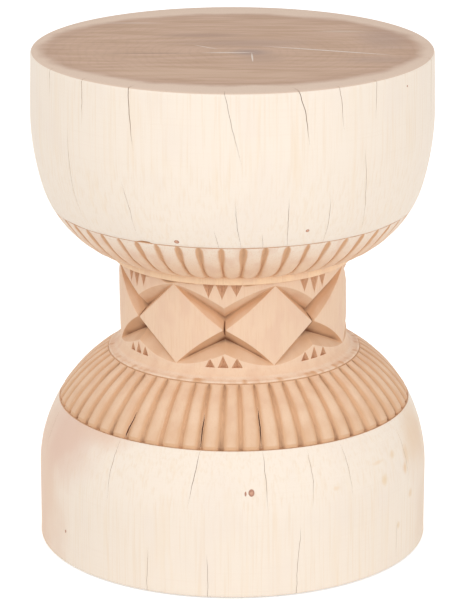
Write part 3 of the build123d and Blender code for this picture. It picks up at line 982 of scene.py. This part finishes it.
class DRUMTABLE_OT_waist(bpy.types.Operator):
    """Carve the waist: diamonds between V cuts, chip-carved notches and the ring above them"""

    bl_idname = "drum_table.waist"
    bl_label = "Waist"

    def execute(self, context):
        sizes = context.scene.drum_table_sizes
        form = Waist(sizes)
        outer, half = form.outer, form.half
        rows = []
        for part, count in enumerate(WAIST_ROWS):
            rows += [(part, 0.5 - 0.5 * cos(pi * number / count)) for number in range(count)]
        rows.append((6, 1.0))
        # half section of the ring above and of the cove below, radius and height in m
        ring = [(0.0, RING_HIGH), (0.100, RING_HIGH), (0.1170, RING_HIGH), (0.1197, RING_HIGH - 0.2 * MM)]
        ring += arc_points((0.1118, 0.2977), 9.4 * MM, 0.38, -0.42, 7)
        ring += [(0.1196, 0.2934), (0.1184, RING_LOW), (0.1150, RING_LOW)]
        cove = arc_points((0.1236, COVE_HIGH), 10.4 * MM, pi, 1.47 * pi, 9)[1:]
        cove += [(0.1240, 0.1976), (0.1250, 0.1971), (0.1256, 0.1963), (0.1256, 0.1955)]
        cove += [(0.1245, 0.1948), (0.0, 0.1948)]
        first, last = len(ring), len(ring) + len(rows)
        levels = [RING_LOW + (COVE_HIGH - RING_LOW) * number / (len(rows) - 1) for number in range(len(rows))]
        profile = ring + [(outer, level) for level in levels] + cove
        per_half = 30
        phase = radians(22.0) + half
        # the ring's edges are browner: painted shade at its top under the overhanging ribs, and at its lower
        # edge partly tool marks, partly painted shade
        ring_edge_marks_and_shade = [0.0] * len(ring)
        ring_edge_marks_and_shade[2:13] = [0.20, 0.08, 0.02, 0.0, 0.0, 0.0, 0.0, 0.0, 0.02, 0.08, 0.40]

        def place(number, step):
            cell, column = divmod(step, per_half)
            share = column / per_half
            if cell % 2:
                turn = half * (1 - share) ** 1.35
                angle = phase + half * (cell + 1) - turn
            else:
                turn = half * share**1.35
                angle = phase + half * cell + turn
            rough = uneven(angle, 0.0, 0.055, 6.0)
            if number < first:
                radius, height = ring[number]
                if number > 3:
                    radius += 0.2 * MM * rough
                return angle, radius, height, ring_edge_marks_and_shade[number]
            if number >= last:
                radius, height = cove[number - last]
                # the bead's underside is darker as painted shade; random patches over the foot of the cove
                # and the bead are darker too
                edge = 0.10 + 0.42 * (number - last > 11)
                return angle, radius, height, edge + 0.45 * max(rough, 0.0) * (number - last > 6)
            marks = form.stations(turn)
            part, portion = rows[number - first]
            height = marks[part] + (marks[part + 1] - marks[part]) * portion
            depths = [weight * form.depth(turn, height + up * ROUNDING_STEP * MM) for weight, up in ROUNDING]
            cut = sum(depths) / sum(weight for weight, _ in ROUNDING)
            from_meeting = turn / half
            meeting, diamond = (cell + 1) // 2 % sizes.diamonds, cell // 2 % sizes.diamonds
            swing, _, rise, _ = MEETINGS[meeting % len(MEETINGS)]
            high_swing, low_swing = DIAMONDS[diamond % len(DIAMONDS)]
            point = height / (form.high if height > 0 else -form.low)
            angle += radians(swing) * (1 - from_meeting)
            angle += radians(high_swing if height > 0 else low_swing) * abs(point) * from_meeting
            level = height + form.middle + rise * MM * (1 - from_meeting) * ease(1 - abs(height) / 0.036)
            ends = ease((RING_LOW - level) / (0.3 * MM)) * ease((level - COVE_HIGH) / (0.4 * MM))
            wave = 0.25 * MM * uneven(angle, level, 0.09, 8.0)
            # a darker band 1 to 4 mm tall under the ring: partly red-brown scratch marks, partly painted
            # shade under the ring's overhang
            recess = (1.0 + 3.0 * max(uneven(angle, 0.0, 0.16, 12.0), 0.0)) * MM
            tone = max(form.tone(turn, height), 0.8 * ease(2 - (RING_LOW - level) / recess))
            return angle, outer - 0.15 * MM - (cut - wave) * ends, level, tone

        solid = spun(profile, sizes.diamonds * 2, per_half)
        reshape(solid, sizes.diamonds * 2 * per_half, place)
        piece = finished("waist", solid, ["heartwood"], sharp=28)
        chips = bmesh.new()
        chance = Random(5)
        # straight end of the notches and their way from it, then in mm their width and the lengths of the two
        # outer ones and of the middle one
        for end, way, width, short, long in (
            (RING_LOW, -1, 11.6, 17.0, 20.6),
            (COVE_HIGH, 1, 9.8, 11.0, 14.6),
        ):
            for cell in range(sizes.diamonds):
                _, swing, _, spacing = MEETINGS[cell % len(MEETINGS)]
                for number in (-1, 0, 1):
                    angle = phase + 2 * half * cell + radians(swing)
                    angle += (number * spacing + chance.uniform(-0.4, 0.4)) * MM / outer
                    wide = width * min(spacing / 13.0, 1.0) * chance.uniform(0.92, 1.06) * MM
                    reach = (short if number else long) * chance.uniform(0.92, 1.07) * MM
                    self.chip(chips, outer, angle, end, way, wide, reach)
        carve(piece, chips, "chip_wall")
        return {"FINISHED"}

    def chip(self, chips, outer, angle, end, way, width, reach):
        """A tapering chip: deepest at its straight end, running out at its point."""
        above, deep = 2 * MM, 3.4 * MM
        start = end - way * 0.2 * MM
        grow = 1 + above / deep
        mouth = [(-0.5 * grow, 0.0, above), (0.5 * grow, 0.0, above), (0.0, 1.0 + 0.2 * grow, above)]
        floor = [(-0.06, 0.0, -deep), (0.06, 0.0, -deep), (0.0, 0.35, -3.0 * MM)]
        sections = []
        for corners in (mouth, floor):
            section = []
            for across, along, out in corners:
                turn = angle + across * width / outer
                section.append(on_side(turn, outer + out, start + way * along * reach))
            sections.append(section)
        blade(chips, sections)


class DRUMTABLE_OT_base_drum(bpy.types.Operator):
    """Turn the plain base drum with its drying checks"""

    bl_idname = "drum_table.base_drum"
    bl_label = "Base Drum"

    def execute(self, context):
        sizes = context.scene.drum_table_sizes
        arc = curves(sizes)[2]
        line = height_angle(arc, LINE_LOWER)
        floor, edge = LOG_LOW.z, sizes.base_round
        rim = arc_points(*arc, line - 0.004, 0.0, 26)
        radius, height = rim[0]
        # the ledge behind the scribed line: how far in and how high, in mm
        ledge = ((7.0, -0.9), (3.0, -0.2), (0.6, 0.2))
        profile = [(0.0, height - 1.4 * MM)]
        profile += [(radius - inward * MM, height + rise * MM) for inward, rise in ledge]
        lead = len(profile)
        profile += rim
        profile += line_points(rim[-1], (sizes.base_radius, floor + edge), 14)
        profile += arc_points((sizes.base_radius - edge, floor + edge), edge, 0, -pi / 2, 5)[1:]
        profile += [(0.12, floor), (0.0, floor)]
        solid = spun(profile, TURNED_SECTORS, SECTOR_STEPS)

        def place(number, step):
            radius, height = profile[number]
            angle = 2 * pi * step / TURNED_STEPS
            if number >= lead and height > floor + edge:
                radius += HAND_STRAY * uneven(angle, height, 0.5, 5.0) - 0.15 * MM
            return angle, radius, height, 0.34

        reshape(solid, TURNED_STEPS, place)
        row = solid.verts.layers.int["row"]
        for face in solid.faces:
            numbers = [vertex[row] for vertex in face.verts]
            is_under = min(numbers) > len(profile) - 4
            face.material_index = CARVED if max(numbers) < lead else END if is_under else SIDE
        piece = finished("base_drum", solid, DRUM_FINISHES)
        split(piece, sizes, BASE_CHECKS, "check_wall", seed=100.0)
        return {"FINISHED"}


# Dead pin knots of the plain sides: angle in degrees, then height, width and length up the grain in mm
KNOTS = [
    (-16.7, 352.5, 5.2, 4.4),
    (22.1, 362.9, 4.4, 3.8),
    (5.3, 107.6, 5.8, 7.2),
    (3.6, 106.8, 1.9, 4.6),
    (-57.8, 35.2, 1.9, 3.4),
    (56.7, 486.6, 2.0, 2.0),
    (151.0, 402.0, 4.8, 5.4),
    (-140.0, 90.0, 5.2, 6.0),
]


class DRUMTABLE_OT_knots(bpy.types.Operator):
    """Set the dead pin knots in the plain sides"""

    bl_idname = "drum_table.knots"
    bl_label = "Knots"

    def execute(self, context):
        knots = bmesh.new()
        outward = knots.verts.layers.float.new("carved")
        for degree, height, width, tall in KNOTS:
            turn = radians(degree)
            radius, facing = side_at(context.scene.drum_table_sizes, height * MM)
            level = sqrt(1 - facing**2)
            normal = Vector((level * sin(turn), -level * cos(turn), facing))
            centre = Vector(on_side(turn, radius, height * MM)) - normal * 0.1 * MM
            spot = Matrix.Translation(centre) @ normal.to_track_quat("Z", "Y").to_matrix().to_4x4()
            size = Vector((width / 2 * MM, tall / 2 * MM, 0.45 * MM))
            oval = spot @ Matrix.Diagonal((*size, 1.0))
            made = bmesh.ops.create_uvsphere(knots, u_segments=20, v_segments=12, radius=1.0, matrix=oval)
            for vertex in made["verts"]:
                vertex[outward] = min((vertex.co - centre).length / size.x, 1.0)
        finished("pin_knots", knots, ["knot"], node=None)
        return {"FINISHED"}


# Radius of the soft edge of a felt pad
PAD_EDGE = 0.4 * MM


class DRUMTABLE_OT_small_parts(bpy.types.Operator):
    """Give the check filler its finish and set the felt pads"""

    bl_idname = "drum_table.small_parts"
    bl_label = "Filler and Pads"

    def execute(self, context):
        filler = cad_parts["heart_check_filler"].data
        filler.materials.clear()
        filler.materials.append(finish_of("filler"))
        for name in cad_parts:
            if name.startswith("felt_pad"):
                low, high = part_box(name)
                side = (high.x - low.x) / sqrt(2)
                pad = bmesh.new()
                turn = Matrix.Rotation(pi / 4, 4, "Z") @ Matrix.Diagonal((side, side, high.z - low.z, 1.0))
                bmesh.ops.create_cube(pad, size=1.0, matrix=Matrix.Translation((low + high) / 2) @ turn)
                bmesh.ops.bevel(
                    pad,
                    geom=pad.edges[:],
                    offset=PAD_EDGE,
                    affect="EDGES",
                    segments=3,
                    profile=0.5,
                    material=-1,
                )
                finished(name + "_felt", pad, ["felt"], node=name)
        return {"FINISHED"}


# How strongly the sky lights the table, and how much brighter the sky and the paper floor look
SKY_LIGHT, SKY_GLOW, PAPER_GLOW = 0.69, 0.31, 0.55
# The soft boxes: name, place, edge in m and power in W
SOFT_BOXES = (
    ("key_softbox", (-1.6, -2.2, 2.4), 1.8, 26.0),
    ("fill_softbox", (1.9, -2.4, 1.2), 1.8, 19.6),
)
AIM = Vector((0.0, 0.0, 0.25))
# Camera: its place in m, its tilt down in degrees, its lens and sensor width in mm, and the lens's shift
CAMERA_SPOT, CAMERA_TILT = (0.0, -3.0328, 1.16655), 16.96
LENS, SENSOR, SHIFT = 190.3, 36.0, (-0.0042, 0.0011)


class DRUMTABLE_OT_stage(bpy.types.Operator):
    """Set the pale floor, the soft light and the camera"""

    bl_idname = "drum_table.stage"
    bl_label = "Stage"

    def execute(self, context):
        scene = context.scene
        scene.view_settings.view_transform = "Standard"
        made = bmesh.new()
        bmesh.ops.create_grid(made, x_segments=2, y_segments=2, size=6.0)
        mesh = bpy.data.meshes.new("floor")
        made.to_mesh(mesh)
        made.free()
        floor = bpy.data.objects.new("floor", mesh)
        scene.collection.objects.link(floor)
        # matt white paper: white to the eye, with the table's soft shadow on it
        paper, tree, shader, _ = new_material("floor_paper")
        shader.inputs["Base Color"].default_value = linear("f4f4f4")
        shader.inputs["Roughness"].default_value = 0.9
        tree.links.new(self.seen(tree, PAPER_GLOW), shader.inputs["Emission Strength"])
        shader.inputs["Emission Color"].default_value = (1, 1, 1, 1)
        mesh.materials.append(paper)

        world = bpy.data.worlds.new("studio")
        scene.world = world
        world.use_nodes = True
        tree = world.node_tree
        sky = tree.nodes["Background"]
        level = add_node(tree, "Math", {0: self.seen(tree, SKY_GLOW), 1: SKY_LIGHT}, operation="ADD")
        tree.links.new(level, sky.inputs["Strength"])
        sky.inputs["Color"].default_value = (1, 1, 1, 1)

        for name, spot, size, power in SOFT_BOXES:
            lamp = bpy.data.lights.new(name, "AREA")
            lamp.size, lamp.energy = size, power
            holder = bpy.data.objects.new(name, lamp)
            holder.location = spot
            holder.rotation_euler = (AIM - Vector(spot)).to_track_quat("-Z", "Y").to_euler()
            scene.collection.objects.link(holder)

        lens = bpy.data.cameras.new("camera")
        lens.lens, lens.sensor_width = LENS, SENSOR
        lens.shift_x, lens.shift_y = SHIFT
        camera = bpy.data.objects.new("camera", lens)
        camera.location = CAMERA_SPOT
        camera.rotation_euler = (radians(90 - CAMERA_TILT), 0.0, 0.0)
        scene.collection.objects.link(camera)
        scene.camera = camera
        return {"FINISHED"}

    def seen(self, tree, level):
        """A level for the rays that show a white ground, 0 for those that light the table."""
        rays = add_node(tree, "LightPath").node.outputs
        shown = rays["Is Camera Ray"]
        for other in (rays["Is Glossy Ray"], rays["Is Transmission Ray"]):
            shown = add_node(tree, "Math", {0: shown, 1: other}, operation="MAXIMUM")
        return add_node(tree, "Math", {0: shown, 1: level}, operation="MULTIPLY")


class DRUMTABLE_PT_panel(bpy.types.Panel):
    """Sidebar panel with the table's pieces, sizes and colours."""

    bl_idname = "DRUMTABLE_PT_panel"
    bl_label = "Drum Table"
    bl_space_type = "VIEW_3D"
    bl_region_type = "UI"
    bl_category = "Drum Table"

    def draw(self, context):
        for operator in OPERATORS:
            self.layout.operator(operator.bl_idname)
        for group in (context.scene.drum_table_sizes, context.scene.drum_table_colours):
            box = self.layout.box()
            for name in group.__annotations__:
                box.prop(group, name)


OPERATORS = (
    DRUMTABLE_OT_seat_drum,
    DRUMTABLE_OT_upper_flutes,
    DRUMTABLE_OT_waist,
    DRUMTABLE_OT_lower_flutes,
    DRUMTABLE_OT_base_drum,
    DRUMTABLE_OT_knots,
    DRUMTABLE_OT_small_parts,
    DRUMTABLE_OT_stage,
)
CLASSES = (DrumTableSizes, DrumTableColours, *OPERATORS, DRUMTABLE_PT_panel)


def register():
    for item in CLASSES:
        bpy.utils.register_class(item)
    bpy.types.Scene.drum_table_sizes = PointerProperty(type=DrumTableSizes)
    bpy.types.Scene.drum_table_colours = PointerProperty(type=DrumTableColours)


def unregister():
    del bpy.types.Scene.drum_table_colours
    del bpy.types.Scene.drum_table_sizes
    for item in reversed(CLASSES):
        bpy.utils.unregister_class(item)


def main():
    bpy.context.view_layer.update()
    register()
    bpy.ops.drum_table.seat_drum()
    bpy.ops.drum_table.upper_flutes()
    bpy.ops.drum_table.waist()
    bpy.ops.drum_table.lower_flutes()
    bpy.ops.drum_table.base_drum()
    bpy.ops.drum_table.knots()
    bpy.ops.drum_table.small_parts()
    bpy.ops.drum_table.stage()


if __name__ == "__main__":
    main()
